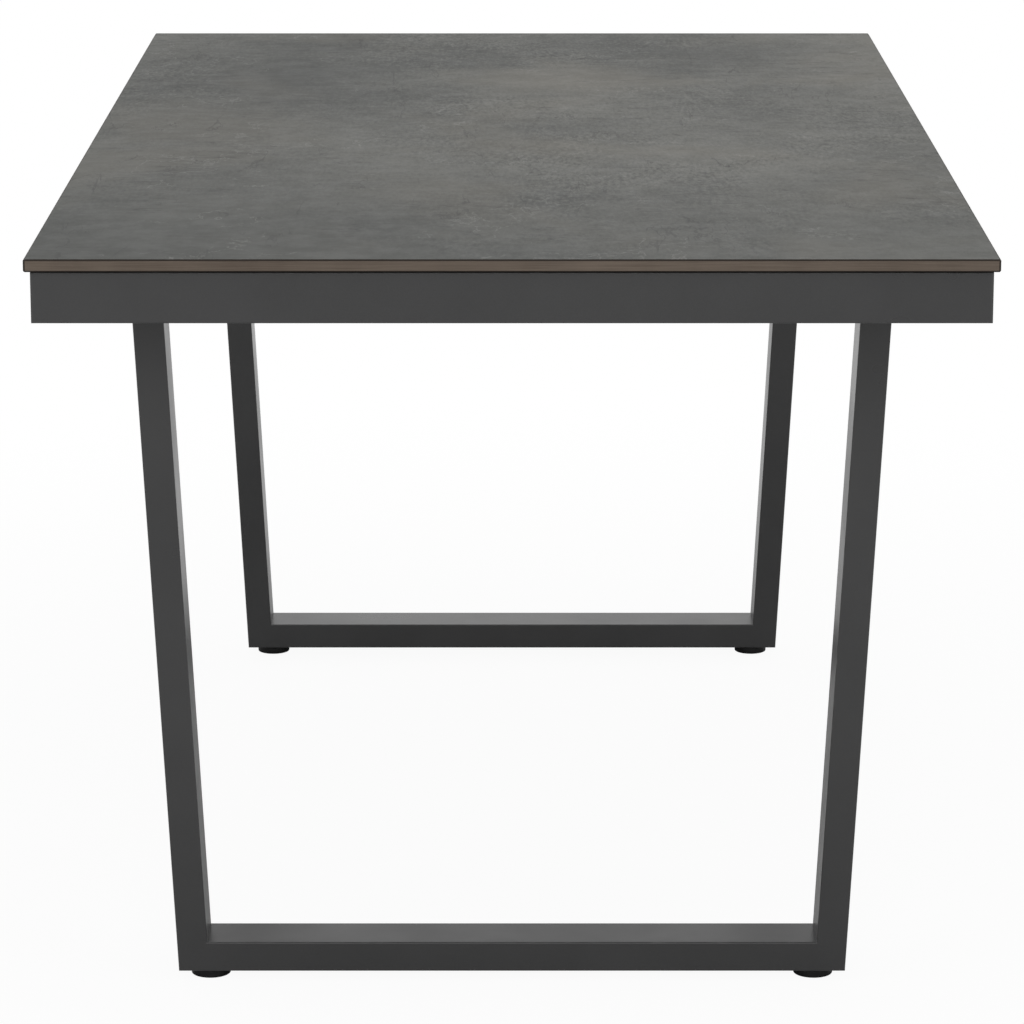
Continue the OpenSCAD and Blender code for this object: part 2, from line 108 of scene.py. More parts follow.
def times(tree, a, b):
    """a times b."""
    return maths(tree, "MULTIPLY", a, b)


def larger(tree, a, b):
    """The larger of a and b."""
    return maths(tree, "MAXIMUM", a, b)


def size_of(tree, a):
    """a without its sign."""
    return maths(tree, "ABSOLUTE", a)


def blend_of(tree, *parts):
    """The sum of (value, share) pairs."""
    scaled = [times(tree, value, share) for value, share in parts]
    total = scaled[0]
    for part in scaled[1:]:
        total = plus(tree, total, part)
    return total


def ease(tree, value, low, high, out_low=0.0, out_high=1.0):
    """A smooth step of value from low to high."""
    inputs = {"Value": value, "From Min": low, "From Max": high, "To Min": out_low, "To Max": out_high}
    return add(tree, "ShaderNodeMapRange", inputs, interpolation_type="SMOOTHSTEP").outputs["Result"]


def mix(tree, factor, a, b, blend="MIX"):
    """Two colours mixed by factor."""
    inputs = {0: factor, 6: a, 7: b}
    return add(tree, "ShaderNodeMix", inputs, data_type="RGBA", blend_type=blend).outputs[2]


def colour(r, g, b):
    """A linear colour with full alpha."""
    return (r, g, b, 1.0)


def place(tree):
    """Object coordinates in metres, which ride with the piece."""
    return add(tree, "ShaderNodeTexCoord").outputs["Object"]


def noise(tree, where, scale, detail=3.0, roughness=0.6, warp=0.0, shift=(0.0, 0.0)):
    """Noise with so many features a metre along X, Y and Z; shift moves it in plan to another stretch."""
    mapped = add(tree, "ShaderNodeMapping", {"Vector": where, "Location": (*shift, 0.0), "Scale": scale})
    inputs = {
        "Vector": mapped.outputs[0],
        "Scale": 1.0,
        "Detail": detail,
        "Roughness": roughness,
        "Distortion": warp,
    }
    return add(tree, "ShaderNodeTexNoise", inputs).outputs[0]


def in_plan(x, y):
    """A noise scale for a flat board, with features a metre along X and Y."""
    return (x, y, 1.0)


def even(size):
    """The same scale along all three axes."""
    return (size, size, size)


def along_axes(tree, vector):
    """A vector's X, Y and Z."""
    return add(tree, "ShaderNodeSeparateXYZ", {0: vector}).outputs


def bump(tree, height, distance, strength=1.0):
    """A bumped normal; distance is in metres."""
    inputs = {"Height": height, "Distance": distance, "Strength": strength}
    return add(tree, "ShaderNodeBump", inputs).outputs[0]


def at_rounding(tree):
    """1 on the small roundings and chamfers between faces that lie along the axes."""
    normal = add(tree, "ShaderNodeNewGeometry").outputs["True Normal"]
    along = add(tree, "ShaderNodeVectorMath", {0: normal}, operation="ABSOLUTE").outputs["Vector"]
    axes = along_axes(tree, along)
    flat = larger(tree, larger(tree, axes["X"], axes["Y"]), axes["Z"])
    return ease(tree, flat, 0.99, 0.85)


# ---------------------------------------------------------------- materials


def stone_tone(tree, where, mottle):
    """How light the stone print is, from broad clouds down to specks, with scuffed areas."""
    clouds = noise(
        tree, where, in_plan(2.8, 2.2), detail=2.0, roughness=0.5, warp=0.2, shift=(3.1, 7.4)
    )
    patches = noise(tree, where, in_plan(10.0, 7.0), detail=4.0, warp=0.2, shift=(1.7, 2.2))
    wiped = noise(
        tree, where, in_plan(12.0, 50.0), detail=5.0, roughness=0.7, warp=0.2, shift=(2.4, 5.1)
    )
    scuffs = noise(tree, where, in_plan(220.0, 75.0), roughness=0.7, warp=0.3, shift=(4.0, 1.0))
    scuffed = noise(tree, where, in_plan(5.0, 4.0), detail=4.0, warp=0.3, shift=(6.2, 3.9))
    scuffed = times(tree, ease(tree, scuffed, 0.46, 0.62), 0.55)
    specks = noise(tree, where, in_plan(600.0, 150.0), detail=2.0)
    tone = blend_of(tree, (clouds, 0.45), (patches, 0.19), (mottle, 0.24), (wiped, 0.12))
    tone = plus(tree, tone, times(tree, minus(tree, scuffs, 0.5), scuffed))
    tone = plus(tree, tone, times(tree, minus(tree, specks, 0.5), 0.14))
    calm = ease(tree, along_axes(tree, where)["X"], 0.0, 0.4, 1.0, 0.65)
    return plus(tree, times(tree, minus(tree, tone, 0.5), calm), 0.5)


def stone_colour(tree, where, mottle):
    """Dark concrete look with cool and warm clouds, and painted shade that darkens it towards the board's
    left and front.
    """
    cool_dark, cool_light = colour(0.055, 0.0565, 0.054), colour(0.129, 0.128, 0.118)
    warm_tint, painted_shade_tone = colour(0.127, 0.120, 0.104), colour(0.051, 0.053, 0.0505)
    tone = ease(tree, stone_tone(tree, where, mottle), 0.35, 0.65)
    shade = mix(tree, tone, cool_dark, cool_light)
    warm = noise(tree, where, in_plan(3.4, 2.6), roughness=0.5, warp=0.3, shift=(9.3, 4.1))
    shade = mix(tree, times(tree, ease(tree, warm, 0.48, 0.66), 0.5), shade, warm_tint)
    axes = along_axes(tree, where)
    # Painted shade: the stone is darkened towards the board's left and front.
    shade_to_left = ease(tree, axes["X"], -0.3, 0.2, 0.36, 0.0)
    shade_to_front = ease(tree, axes["Y"], -0.8, -0.1, 0.5, 0.0)
    return mix(tree, plus(tree, shade_to_left, shade_to_front), shade, painted_shade_tone)


def scratches(tree, where, scale, width, shift, least):
    """Thin wandering lines, 1 on a line, only where a coarser noise is over least."""
    field = noise(tree, where, scale, detail=5.0, warp=0.3, shift=shift)
    off_line = size_of(tree, minus(tree, field, 0.5))
    sparse = noise(tree, where, in_plan(7.0, 6.0), detail=4.0, roughness=0.65, warp=0.3, shift=shift)
    return times(tree, ease(tree, off_line, width, 0.0), ease(tree, sparse, least, least + 0.08))


def stone_face(tree, where, mottle):
    """The stone print with its dark and chalky scratches, and where the dark ones lie."""
    across = scratches(tree, where, in_plan(4.0, 16.0), width=0.014, shift=(5.5, 1.3), least=0.49)
    along = scratches(tree, where, in_plan(14.0, 2.5), width=0.010, shift=(2.5, 6.3), least=0.5)
    chalk = scratches(tree, where, in_plan(18.0, 11.0), width=0.015, shift=(8.5, 3.3), least=0.53)
    lines = larger(tree, across, along)
    stone = stone_colour(tree, where, mottle)
    stone = mix(tree, times(tree, lines, 0.44), stone, colour(0.028, 0.028, 0.028))
    return mix(tree, times(tree, chalk, 0.32), stone, colour(0.20, 0.20, 0.19)), lines


def edge_colour(tree, where, rim_shade_mask):
    """Brown pressed core with fine layers, between near-black rims of painted shade."""
    layers = noise(tree, where, (14.0, 14.0, 1400.0), detail=4.0)
    stains = noise(tree, where, even(18.0), roughness=0.5)
    level = ease(tree, blend_of(tree, (layers, 0.6), (stains, 0.4)), 0.3, 0.7)
    core = mix(tree, level, colour(0.072, 0.056, 0.044), colour(0.116, 0.093, 0.074))
    # The near-black rim colour is painted shade on the chamfers and corner roundings.
    rim = mix(tree, layers, colour(0.012, 0.009, 0.007), colour(0.024, 0.018, 0.014))
    return mix(tree, rim_shade_mask, core, rim)


def board_material():
    """Stone-look laminate on the faces with painted shade towards its left and front, chamfers and
    corners darkened by painted shade, and a brown core at the edges.
    """
    material, tree, shader = new_tree("stone_laminate")
    where = place(tree)
    normal = along_axes(tree, add(tree, "ShaderNodeNewGeometry").outputs["True Normal"])
    upright = size_of(tree, normal["Z"])
    turned_corner = size_of(tree, times(tree, normal["X"], normal["Y"]))
    on_face = ease(tree, upright, 0.86, 0.94)
    # Where the painted shade goes: the chamfers and the corner roundings.
    rim_shade_mask = larger(tree, ease(tree, upright, 0.3, 0.4), ease(tree, turned_corner, 0.2, 0.4))
    mottle = noise(tree, where, in_plan(240.0, 75.0))
    stone, lines = stone_face(tree, where, mottle)
    edge = edge_colour(tree, where, rim_shade_mask)
    plug(tree, shader.inputs["Base Color"], mix(tree, on_face, edge, stone))
    satin = ease(tree, noise(tree, where, even(35.0), detail=4.0), 0.3, 0.7, 0.70, 0.82)
    cut_edge = colour(0.8, 0.8, 0.8)
    plug(tree, shader.inputs["Roughness"], mix(tree, on_face, cut_edge, satin))
    grain = noise(tree, where, even(420.0))
    height = blend_of(tree, (mottle, 0.7), (grain, 0.3))
    height = minus(tree, height, times(tree, lines, 0.4))
    plug(tree, shader.inputs["Normal"], bump(tree, height, 0.00012, 0.8))
    shader.inputs["Specular IOR Level"].default_value = 0.15
    return material


def coat_material(name, worn):
    """Fine-textured dark grey powder coat, lighter where an edge is rubbed."""
    material, tree, shader = new_tree(name)
    where = place(tree)
    texture = noise(tree, where, even(1100.0), detail=2.0, roughness=0.5)
    clouds = noise(tree, where, even(7.0), detail=4.0, roughness=0.55)
    dark, light = colour(0.0245, 0.0245, 0.0248), colour(0.0305, 0.0305, 0.0308)
    level = blend_of(tree, (texture, 0.45), (clouds, 0.55))
    shade = mix(tree, ease(tree, level, 0.32, 0.68), dark, light)
    rubbed = ease(tree, noise(tree, where, even(45.0), detail=5.0, roughness=0.65), 0.42, 0.72)
    wear = times(tree, times(tree, at_rounding(tree), rubbed), 0.5)
    plug(tree, shader.inputs["Base Color"], mix(tree, wear, shade, worn))
    plug(tree, shader.inputs["Roughness"], ease(tree, clouds, 0.3, 0.7, 0.27, 0.35))
    plug(tree, shader.inputs["Normal"], bump(tree, texture, 0.00004, 0.5))
    shader.inputs["Specular IOR Level"].default_value = 0.36
    return material


def frame_coat_material():
    """The coat of the fixed frame."""
    return coat_material("frame_powder_coat", colour(0.075, 0.075, 0.075))


def carriage_coat_material():
    """The coat of the sliding carriages, rubbed a little brighter."""
    return coat_material("carriage_powder_coat", colour(0.080, 0.080, 0.080))


def moulded_material(name, dark, light, smooth, rough, grain_size):
    """Moulded plastic with a fine spark-eroded grain and a little handling dirt."""
    material, tree, shader = new_tree(name)
    where = place(tree)
    grain = noise(tree, where, even(grain_size))
    dirt = noise(tree, where, even(60.0), detail=5.0)
    plug(tree, shader.inputs["Base Color"], mix(tree, ease(tree, dirt, 0.3, 0.7), dark, light))
    plug(tree, shader.inputs["Roughness"], ease(tree, dirt, 0.3, 0.7, smooth, rough))
    plug(tree, shader.inputs["Normal"], bump(tree, grain, 0.00004, 0.6))
    return material, shader


def cap_material():
    """Dark grey caps at the fascia's ends."""
    dark, light = colour(0.022, 0.022, 0.022), colour(0.030, 0.030, 0.030)
    material, shader = moulded_material(
        "cap_plastic_moulded", dark, light, smooth=0.48, rough=0.6, grain_size=2200.0
    )
    shader.inputs["Specular IOR Level"].default_value = 0.45
    return material


def foot_material():
    """Near-black satin plastic of the foot pads."""
    dark, light = colour(0.007, 0.007, 0.007), colour(0.010, 0.010, 0.010)
    material, shader = moulded_material(
        "foot_plastic_moulded", dark, light, smooth=0.26, rough=0.38, grain_size=1800.0
    )
    shader.inputs["Specular IOR Level"].default_value = 0.2
    return material


def glide_material():
    """Pale slippery plastic, polished in lines along the slide."""
    material, tree, shader = new_tree("glide_plastic_pale")
    where = place(tree)
    lines = noise(tree, where, (600.0, 6.0, 600.0))
    dirt = noise(tree, where, even(80.0), detail=5.0, roughness=0.65)
    clean, soiled = colour(0.54, 0.53, 0.48), colour(0.44, 0.43, 0.39)
    shade = mix(tree, ease(tree, dirt, 0.35, 0.75), clean, soiled)
    polished = ease(tree, lines, 0.55, 0.8, 0.0, 0.4)
    plug(tree, shader.inputs["Base Color"], mix(tree, polished, shade, colour(0.30, 0.29, 0.27)))
    plug(tree, shader.inputs["Roughness"], ease(tree, lines, 0.3, 0.7, 0.32, 0.5))
    plug(tree, shader.inputs["Normal"], bump(tree, lines, 0.00005, 0.5))
    return material


def rubber_material():
    """Matt black rubber with a bloom of dust."""
    material, tree, shader = new_tree("stop_rubber_black")
    where = place(tree)
    pores = noise(tree, where, even(1500.0))
    dust = noise(tree, where, even(90.0), detail=5.0)
    clean, dusty = colour(0.010, 0.010, 0.010), colour(0.035, 0.034, 0.032)
    shade = mix(tree, ease(tree, dust, 0.45, 0.8), clean, dusty)
    plug(tree, shader.inputs["Base Color"], shade)
    plug(tree, shader.inputs["Roughness"], ease(tree, dust, 0.3, 0.7, 0.72, 0.9))
    plug(tree, shader.inputs["Normal"], bump(tree, pores, 0.0001, 0.6))
    return material


def steel_material():
    """Zinc-plated steel with faint passivation tints and a brushed grain."""
    material, tree, shader = new_tree("zinc_plated_steel")
    where = place(tree)
    tint = noise(tree, where, even(70.0), detail=4.0)
    grain = noise(tree, where, (900.0, 900.0, 120.0))
    bluish, yellowish = colour(0.30, 0.31, 0.33), colour(0.42, 0.41, 0.38)
    shade = mix(tree, ease(tree, tint, 0.35, 0.65), bluish, yellowish)
    plug(tree, shader.inputs["Base Color"], shade)
    plug(tree, shader.inputs["Roughness"], ease(tree, grain, 0.3, 0.7, 0.32, 0.50))
    plug(tree, shader.inputs["Normal"], bump(tree, grain, 0.00003, 0.6))
    shader.inputs["Metallic"].default_value = 1.0
    return material


def dress(materials):
    """Puts each slot's material on the CAD nodes that have it."""
    for node in frame["nodes"].values():
        for held in node.material_slots:
            held.material = materials[held.material.name]


# ---------------------------------------------------------------- pieces

# Sizes of the fasteners and welds, in metres.
PAN_HEAD = 0.0024       # height of the small screws' heads
BOLT_HEAD = 0.0053      # height of the bolts' heads
WASHER_FACE = 0.0004    # height of the washer face under a bolt's head
HEAD_DISH = 0.0003      # depth of the dished top of a bolt's head
BOLT_CHAMFER = 0.0008   # at a bolt's tip
DRIVE_DEPTH = 0.0021    # depth of a countersunk screw's drive
DRIVE_SLOPE = 0.0003    # by which that drive is shallower at its wall
HEAD_EDGE = 0.0001      # broken edge of a screw's head
LOBE_HEIGHT = 0.13      # of a six-lobed drive, as a share of its radius
WELD_SIZE = 0.0032      # from the corner out to a weld's toes
WELD_RIPPLE = 0.0014    # from one ripple of the weld to the next
WELD_SWELL = 0.08       # by which a ripple swells the weld, as a share of its size
WELD_STEP = 0.0005      # between two rings of a weld's mesh
WELD_TURN = 0.002       # length over which a weld turns at a corner
WELD_ROOT = 0.0004      # by which a weld reaches into its leg


def centre_of(node):
    """The middle of a node's box, in plan."""
    low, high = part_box(node)
    return (low[0] + high[0]) / 2, (low[1] + high[1]) / 2


def body_with(node):
    """The body that a node belongs to."""
    bodies = frame["record"]["behaviour"]["bodies"]
    return next(body for body, members in bodies.items() if node in members)


def finish_piece(name, mesh, body, material, node=None):
    """Makes the mesh's object, which rides on the body and may stand for a CAD node."""
    for face in mesh.faces:
        face.smooth = True
    data = bpy.data.meshes.new(name)
    bmesh.ops.recalc_face_normals(mesh, faces=mesh.faces)
    mesh.to_mesh(data)
    mesh.free()
    data.set_sharp_from_angle(angle=math.radians(25))
    data.materials.append(material)
    piece = bpy.data.objects.new(name, data)
    bpy.context.scene.collection.objects.link(piece)
    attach(piece, body)
    if node:
        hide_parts(node)
    return piece


def arc(x, z, radius, start, end, steps):
    """Points of a round corner, with its angles in degrees."""
    angles = [math.radians(start + (end - start) * i / steps) for i in range(steps + 1)]
    return [(x + radius * math.cos(a), z + radius * math.sin(a)) for a in angles]


def reach(form, radius, angle):
    """How far out a ring goes at an angle: round, hexagonal to its corners, or six-lobed."""
    if form == "hex":
        return radius * math.cos(math.pi / 6) / math.cos(angle % (math.pi / 3) - math.pi / 6)
    if form == "lobed":
        return radius * (1 + LOBE_HEIGHT * math.cos(6 * angle))
    return radius


def turned(mesh, steps, put, segments):
    """Skins rings of (radius, height, form) about an axis; put turns a local point into the frame's."""
    rings = []
    for radius, height, form in steps:
        if radius < 1e-6:
            rings.append([mesh.verts.new(put(0.0, 0.0, height))])
            continue
        ring = []
        for i in range(segments):
            angle = 2 * math.pi * i / segments
            out = reach(form, radius, angle)
            point = put(out * math.cos(angle), out * math.sin(angle), height)
            ring.append(mesh.verts.new(point))
        rings.append(ring)
    for below, above in zip(rings, rings[1:]):
        for i in range(segments):
            j = (i + 1) % segments
            corners = [below[i % len(below)], below[j % len(below)]]
            corners += [above[j % len(above)], above[i % len(above)]]
            mesh.faces.new(list(dict.fromkeys(corners)))


def round_steps(points):
    """Profile points as round rings."""
    return [(radius, height, "round") for radius, height in points]


def upright_at(x, y, z=0.0):
    """Puts local points on an upright axis through a place."""
    return lambda a, b, c: (x + a, y + b, z + c)


def solids_of(node):
    """The vertices of each separate solid in a CAD node."""
    mesh = bmesh.new()
    mesh.from_mesh(frame["nodes"][node].data)
    bmesh.ops.remove_doubles(mesh, verts=mesh.verts, dist=1e-6)
    waiting = dict.fromkeys(mesh.verts)
    solids = []
    while waiting:
        held = [waiting.popitem()[0]]
        for vertex in held:
            near = [edge.other_vert(vertex) for edge in vertex.link_edges]
            for other in [v for v in near if v in waiting]:
                del waiting[other]
                held.append(other)
        solids.append([vertex.co.copy() for vertex in held])
    mesh.free()
    return solids


def axis_of(points, upright):
    """A fastener's head end, direction from head to tip, length, and radii at its head and tip."""
    low = Vector([min(p[i] for p in points) for i in range(3)])
    high = Vector([max(p[i] for p in points) for i in range(3)])
    size = high - low
    axis = 2 if upright else max(range(3), key=lambda i: size[i])
    middle = (low + high) / 2

    def radius_at(level):
        """The largest distance from the axis among the points at a level."""
        offsets = [p - middle for p in points if abs(p[axis] - level) < 1e-5]
        for offset in offsets:
            offset[axis] = 0.0
        return max(offset.length for offset in offsets)

    ends = sorted([low[axis], high[axis]], key=radius_at, reverse=True)
    head = middle.copy()
    head[axis] = ends[0]
    direction = Vector((0.0, 0.0, 0.0))
    direction[axis] = math.copysign(1.0, ends[1] - ends[0])
    return head, direction, size[axis], radius_at(ends[0]), radius_at(ends[1])


def along_axis(head, direction):
    """Puts local points on a fastener's axis, with height 0 at its head's outer face."""
    turn = direction.to_track_quat("Z", "X")
    return lambda a, b, c: head + turn @ Vector((a, b, c))


def countersunk_steps(length, head, shank):
    """Countersunk head with a six-lobed drive, flush with its face, and a pointed shank."""
    drive = head * 0.48
    return [
        (0.0, DRIVE_DEPTH, "lobed"),
        (drive * 0.8, DRIVE_DEPTH - DRIVE_SLOPE, "lobed"),
        (drive, 0.0, "lobed"),
        (head - HEAD_EDGE, 0.0, "round"),
        (head, HEAD_EDGE, "round"),
        (shank, head - shank, "round"),
        (shank, length - shank, "round"),
        (0.0, length, "round"),
    ]


def pan_steps(length, head, shank):
    """Domed head with a six-lobed drive, and a pointed shank."""
    drive = head * 0.46
    return [
        (0.0, PAN_HEAD * 0.75, "lobed"),
        (drive * 0.85, PAN_HEAD * 0.7, "lobed"),
        (drive, HEAD_EDGE, "lobed"),
        (drive * 1.12, 0.0, "round"),
        (head * 0.72, PAN_HEAD * 0.12, "round"),
        (head * 0.9, PAN_HEAD * 0.35, "round"),
        (head, PAN_HEAD * 0.7, "round"),
        (head, PAN_HEAD, "round"),
        (shank, PAN_HEAD, "round"),
        (shank, length - shank, "round"),
        (0.0, length, "round"),
    ]


def bolt_steps(length, head, shank):
    """Chamfered hexagonal head with a dished top and a washer face, and a chamfered shank."""
    flat = head * math.cos(math.pi / 6)
    washer = flat * 0.97
    return [
        (0.0, HEAD_DISH, "round"),
        (flat * 0.6, HEAD_DISH, "round"),
        (flat * 0.66, 0.0, "round"),
        (flat * 0.92, 0.0, "round"),
        (head, BOLT_HEAD * 0.17, "hex"),
        (head, BOLT_HEAD - WASHER_FACE, "hex"),
        (washer, BOLT_HEAD - WASHER_FACE, "round"),
        (washer, BOLT_HEAD, "round"),
        (shank, BOLT_HEAD, "round"),
        (shank, length - BOLT_CHAMFER, "round"),
        (shank - BOLT_CHAMFER, length, "round"),
        (0.0, length, "round"),
    ]


def fasteners(node, steps_for, material, upright=True):
    """Turns each solid of a fastener node into a detailed one of the same size."""
    mesh = bmesh.new()
    for points in solids_of(node):
        head, direction, length, head_radius, shank = axis_of(points, upright)
        steps = steps_for(length, head_radius, shank)
        turned(mesh, steps, along_axis(head, direction), segments=48)
    return finish_piece(node + "_detailed", mesh, body_with(node), material, node)


def weld_path(leg):
    """Points round the top of a leg, each with its outward direction, which turns at the corners."""
    vertices = [v.co for v in frame["nodes"][leg].data.vertices]
    top = max(v.z for v in vertices)
    rim = [v for v in vertices if v.z > top - 1e-4]
    low = Vector((min(v.x for v in rim), min(v.y for v in rim), top))
    high = Vector((max(v.x for v in rim), max(v.y for v in rim), top))
    corners = [low, Vector((high.x, low.y, top)), high, Vector((low.x, high.y, top))]
    middle = (low + high) / 2
    path = []
    for a, b in zip(corners, corners[1:] + corners[:1]):
        side = ((a + b) / 2 - middle).normalized()
        count = max(2, round((b - a).length / WELD_STEP))
        for i in range(count):
            near_corner = max(0.0, 1 - i * WELD_STEP / WELD_TURN)
            lean = ((a - middle).normalized() * 1.2 - side) * near_corner
            path.append((a.lerp(b, i / count), (side + lean * 0.5).normalized()))
    return path


def weld_section(size):
    """A hollow fillet: how far out and down its points lie from the corner."""
    hollow, roundness, steps = 0.86, 0.8, 6
    section = []
    for step in range(steps + 1):
        angle = math.radians(90 * step / steps)
        out = size * (1 - hollow * math.sin(angle) ** roundness)
        down = size * (1 - hollow * math.cos(angle) ** roundness)
        section.append((out, down))
    return section


def weld_bead(leg, material):
    """Fillet weld round the top of a leg under its plate, with the ripple of the weld pool."""
    mesh = bmesh.new()
    rings = []
    for i, (point, side) in enumerate(weld_path(leg)):
        swell = WELD_SWELL * math.sin(2 * math.pi * i * WELD_STEP / WELD_RIPPLE)
        size = WELD_SIZE * (1 + swell)
        ring = []
        for out, down in weld_section(size):
            ring.append(mesh.verts.new(point + side * out - Vector((0.0, 0.0, down))))
        ring.append(mesh.verts.new(point - side * WELD_ROOT))
        rings.append(ring)
    for ring, following in zip(rings, rings[1:] + rings[:1]):
        for j in range(len(ring)):
            k = (j + 1) % len(ring)
            mesh.faces.new((ring[j], ring[k], following[k], following[j]))
    return finish_piece("weld_" + leg, mesh, "frame", material)


def foot_pad(side, material):
    """Moulded pad with rounded rims, a ring groove in its top and the socket for the stud's head."""
    node = "foot_pad_" + side
    low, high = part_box(node)
    x, y = centre_of(node)
    radius = (high[0] - low[0]) / 2
    base, top = low[2], high[2]
    rim, lip = 0.0012, 0.0008
    groove_radius, groove = 0.0125, 0.0012
    bore, socket, socket_height = 0.005, 0.00705, 0.0035
    sole_thickness, tread = 0.0035, 0.004
    sole = base + sole_thickness
    socket_top = sole + socket_height
    profile = [(0.0, base), (radius - rim - tread, base)]
    profile += arc(radius - rim, base + rim, rim, -90, 0, 6)
    profile += arc(radius - rim, top - rim, rim, 0, 90, 6)
    profile += arc(groove_radius, top, groove, 0, -180, 6)
    profile += arc(bore + lip, top - lip, lip, 90, 180, 4)
    profile += [(bore, socket_top), (socket, socket_top), (socket, sole), (0.0, sole)]
    mesh = bmesh.new()
    turned(mesh, round_steps(profile), upright_at(x, y), segments=96)
    return finish_piece("pad_" + side, mesh, node, material, node)


def foot_stud(side, material):
    """Threaded stud with its head in the pad's socket and a hexagonal collar to turn it by."""
    node = "foot_stud_" + side
    low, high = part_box(node)
    x, y = centre_of(node)
    base = low[2]
    head_radius, head_height = 0.007, 0.0033
    neck = base + head_height
    shank, root, pitch = 0.00495, 0.00425, 0.0015
    collar_gap, collar_height, chamfer = 0.0002, 0.0016, 0.0003
    collar_radius = (high[0] - low[0]) / 2
    washer = collar_radius * 0.86
    pad_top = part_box("foot_pad_" + side)[1][2]
    collar = pad_top + collar_gap
    collar_top = collar + collar_height
    steps = [
        (0.0, base, "round"),
        (head_radius, base, "round"),
        (head_radius, neck, "round"),
        (shank, neck, "round"),
        (shank, collar, "round"),
        (washer, collar, "round"),
        (collar_radius, collar + chamfer, "hex"),
        (collar_radius, collar_top - chamfer, "hex"),
        (washer, collar_top, "round"),
        (root, collar_top, "round"),
        (0.0, collar_top, "round"),
    ]
    mesh = bmesh.new()
    turned(mesh, steps, upright_at(x, y), segments=48)
    thread(mesh, x, y, collar_top - pitch, high[2], root, shank, pitch)
    return finish_piece("stud_" + side, mesh, node, material, node)


def thread(mesh, x, y, low, high, root, crest, pitch):
    """A screw thread between two heights: root, slope, crest and slope in each pitch."""
    around, per_pitch = 36, 8
    rows = round((high - low) / pitch * per_pitch)
    grid = []
    for row in range(rows + 1):
        height = low + (high - low) * row / rows
        ring = []
        for i in range(around):
            phase = ((height - low) / pitch - i / around) % 1.0
            slope = min(1.0, max(0.0, 1.5 - abs(phase - 0.5) * 4))
            radius = root + (crest - root) * slope
            angle = 2 * math.pi * i / around
            out, across = radius * math.cos(angle), radius * math.sin(angle)
            ring.append(mesh.verts.new((x + out, y + across, height)))
        grid.append(ring)
    for below, above in zip(grid, grid[1:]):
        for i in range(around):
            j = (i + 1) % around
            mesh.faces.new((below[i], below[j], above[j], above[i]))
    mesh.faces.new(grid[0])
    mesh.faces.new(grid[-1])


materials = {
    "board": board_material(),
    "frame_coat": frame_coat_material(),
    "carriage_coat": carriage_coat_material(),
    "cap_plastic": cap_material(),
    "glide_plastic": glide_material(),
    "stop_rubber": rubber_material(),
    "foot_plastic": foot_material(),
    "steel": steel_material(),
}
dress(materials)
for corner in ("front_left", "front_right", "rear_left", "rear_right"):
    foot_pad(corner, materials["foot_plastic"])
    foot_stud(corner, materials["steel"])
for screws in ("top_screws", "leaf_screws_front", "leaf_screws_rear"):
    fasteners(screws, countersunk_steps, materials["steel"])
for screws in ("glide_screws", "stop_screws"):
    fasteners(screws, pan_steps, materials["steel"])
for screws in ("bracket_screws_front", "bracket_screws_rear"):
    fasteners(screws, pan_steps, materials["steel"], upright=False)
for leg in ("leg_front_left", "leg_front_right", "leg_rear_left", "leg_rear_right"):
    weld_bead(leg, materials["frame_coat"])
for bolts in ("leg_bolts", "beam_bolts"):
    fasteners(bolts, bolt_steps, materials["steel"])


# ---------------------------------------------------------------- studio


def mix_shaders(tree, factor, a, b):
    """Two shaders mixed by factor."""
    return add(tree, "ShaderNodeMixShader", {0: factor, 1: a, 2: b}).outputs[0]


def seen_white(tree):
    """1 for the rays that show the background: camera, glossy and transmission."""
    path = add(tree, "ShaderNodeLightPath").outputs
    glossy = larger(tree, path["Is Camera Ray"], path["Is Glossy Ray"])
    return larger(tree, glossy, path["Is Transmission Ray"])


def floor_white(tree):
    """The floor's share of backdrop white: high for the camera, rising outwards in reflections."""
    path = add(tree, "ShaderNodeLightPath").outputs
    away = add(tree, "ShaderNodeVectorMath", {0: place(tree)}, operation="LENGTH").outputs["Value"]
    direct = times(tree, path["Is Camera Ray"], ease(tree, away, 0.9, 2.2, 0.94, 1.0))
    mirrored = larger(tree, path["Is Glossy Ray"], path["Is Transmission Ray"])
    mirrored = times(tree, mirrored, ease(tree, away, 0.5, 2.6, 0.0, 1.0))
    return larger(tree, direct, mirrored)


def studio_floor(half_width):
    """Pale floor that keeps the shadow, fades to the white backdrop and is clear from beneath."""
    mesh = bmesh.new()
    bmesh.ops.create_grid(mesh, x_segments=8, y_segments=8, size=half_width)
    data = bpy.data.meshes.new("studio_floor")
    mesh.to_mesh(data)
    mesh.free()
    material, tree, shader = new_tree("studio_floor_pale")
    shader.inputs["Base Color"].default_value = colour(0.66, 0.66, 0.66)
    shader.inputs["Roughness"].default_value = 1.0
    shader.inputs["Specular IOR Level"].default_value = 0.0
    glow = {"Color": colour(1.0, 1.0, 1.0), "Strength": 1.0}
    white = add(tree, "ShaderNodeEmission", glow).outputs[0]
    clear = add(tree, "ShaderNodeBsdfTransparent").outputs[0]
    beneath = times(tree, add(tree, "ShaderNodeNewGeometry").outputs["Backfacing"], seen_white(tree))
    look = mix_shaders(tree, floor_white(tree), shader.outputs[0], white)
    look = mix_shaders(tree, beneath, look, clear)
    plug(tree, tree.nodes["Material Output"].inputs["Surface"], look)
    data.materials.append(material)
    floor = bpy.data.objects.new("studio_floor", data)
    floor.location.z = cad_box[0][2] - FLOOR_GAP
    bpy.context.scene.collection.objects.link(floor)


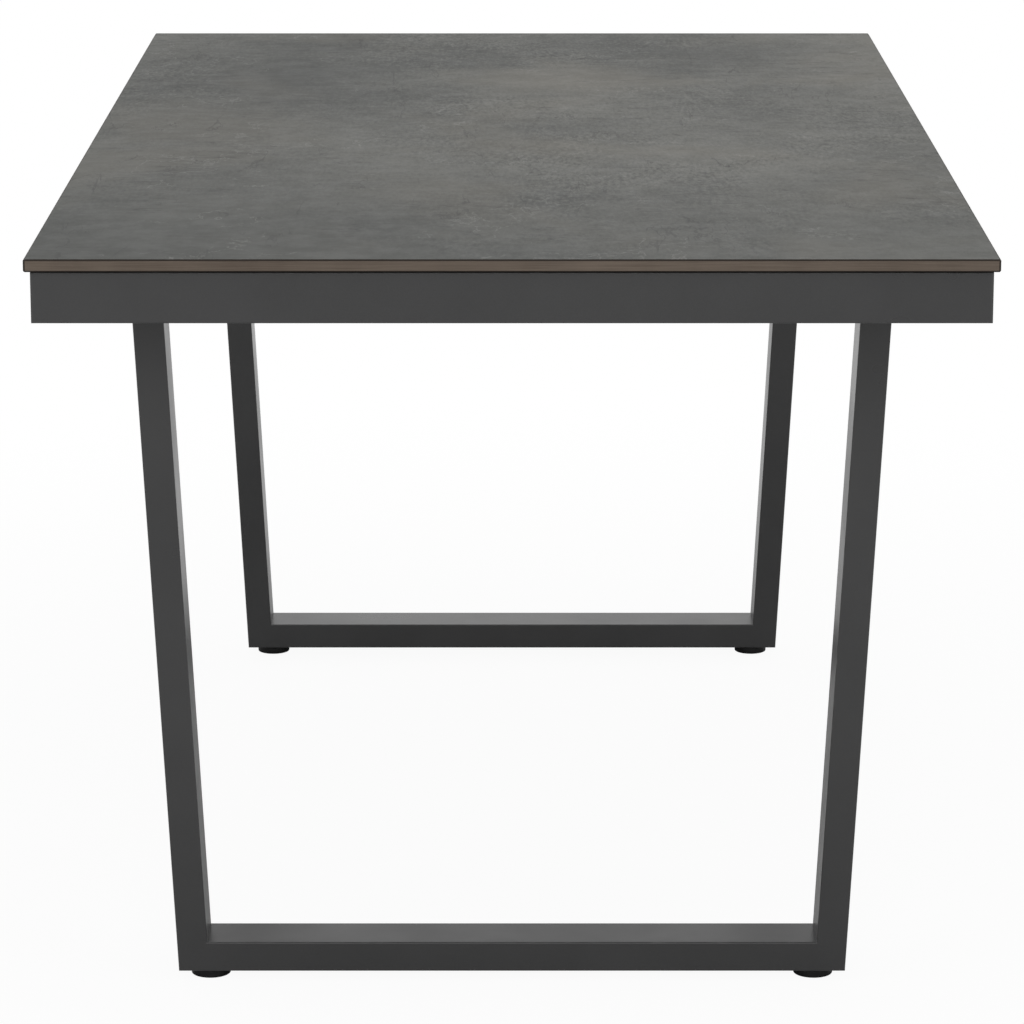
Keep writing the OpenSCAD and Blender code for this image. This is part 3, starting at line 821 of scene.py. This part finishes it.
def studio_world(light):
    """An even soft light, with a white background for the camera and for reflections."""
    world = bpy.data.worlds.new("studio")
    world.use_nodes = True
    tree = world.node_tree
    background = tree.nodes["Background"]
    background.inputs["Color"].default_value = colour(1.0, 1.0, 1.0)
    levels = {"Value": seen_white(tree), "To Min": light, "To Max": 1.0}
    strength = add(tree, "ShaderNodeMapRange", levels).outputs[0]
    plug(tree, background.inputs["Strength"], strength)
    bpy.context.scene.world = world


def soft_lamp(name, position, aim, size, watts):
    """A large square area lamp aimed at a point."""
    lamp = bpy.data.lights.new(name, "AREA")
    lamp.size = size
    lamp.energy = watts
    holder = bpy.data.objects.new(name, lamp)
    holder.location = position
    holder.rotation_euler = (Vector(aim) - Vector(position)).to_track_quat("-Z", "Y").to_euler()
    holder.visible_camera = False
    bpy.context.scene.collection.objects.link(holder)


def studio_camera(height, distance, pitch, lens):
    """Long lens in front of one end, above the top and pitched down by so many degrees."""
    data = bpy.data.cameras.new("photo_camera")
    data.sensor_width = 36.0
    data.lens = lens
    data.clip_start = 0.1
    data.clip_end = 100.0
    camera = bpy.data.objects.new("photo_camera", data)
    camera.location = (0.0, -distance, height)
    camera.rotation_euler = (math.radians(90.0 - pitch), 0.0, 0.0)
    bpy.context.scene.collection.objects.link(camera)
    bpy.context.scene.camera = camera


studio_floor(half_width=20.0)
studio_world(light=0.68)
soft_lamp("front_lamp", (0.0, -4.8, 2.4), aim=(0.0, -0.6, 0.2), size=2.4, watts=56.0)
soft_lamp("left_lamp", (-3.2, -2.6, 2.2), aim=(0.0, 0.2, 0.3), size=2.6, watts=36.0)
soft_lamp("right_lamp", (3.2, -2.6, 2.2), aim=(0.0, 0.2, 0.3), size=2.6, watts=42.0)
soft_lamp("top_lamp", (0.2, 0.6, 3.6), aim=(0.1, 0.3, 0.5), size=2.6, watts=28.0)
soft_lamp("back_lamp", (0.0, 3.4, 3.6), aim=(0.0, 0.4, 0.4), size=2.6, watts=36.0)
studio_camera(height=1.4998, distance=4.9104, pitch=13.453, lens=159.59)
bpy.context.scene.view_settings.view_transform = "Standard"
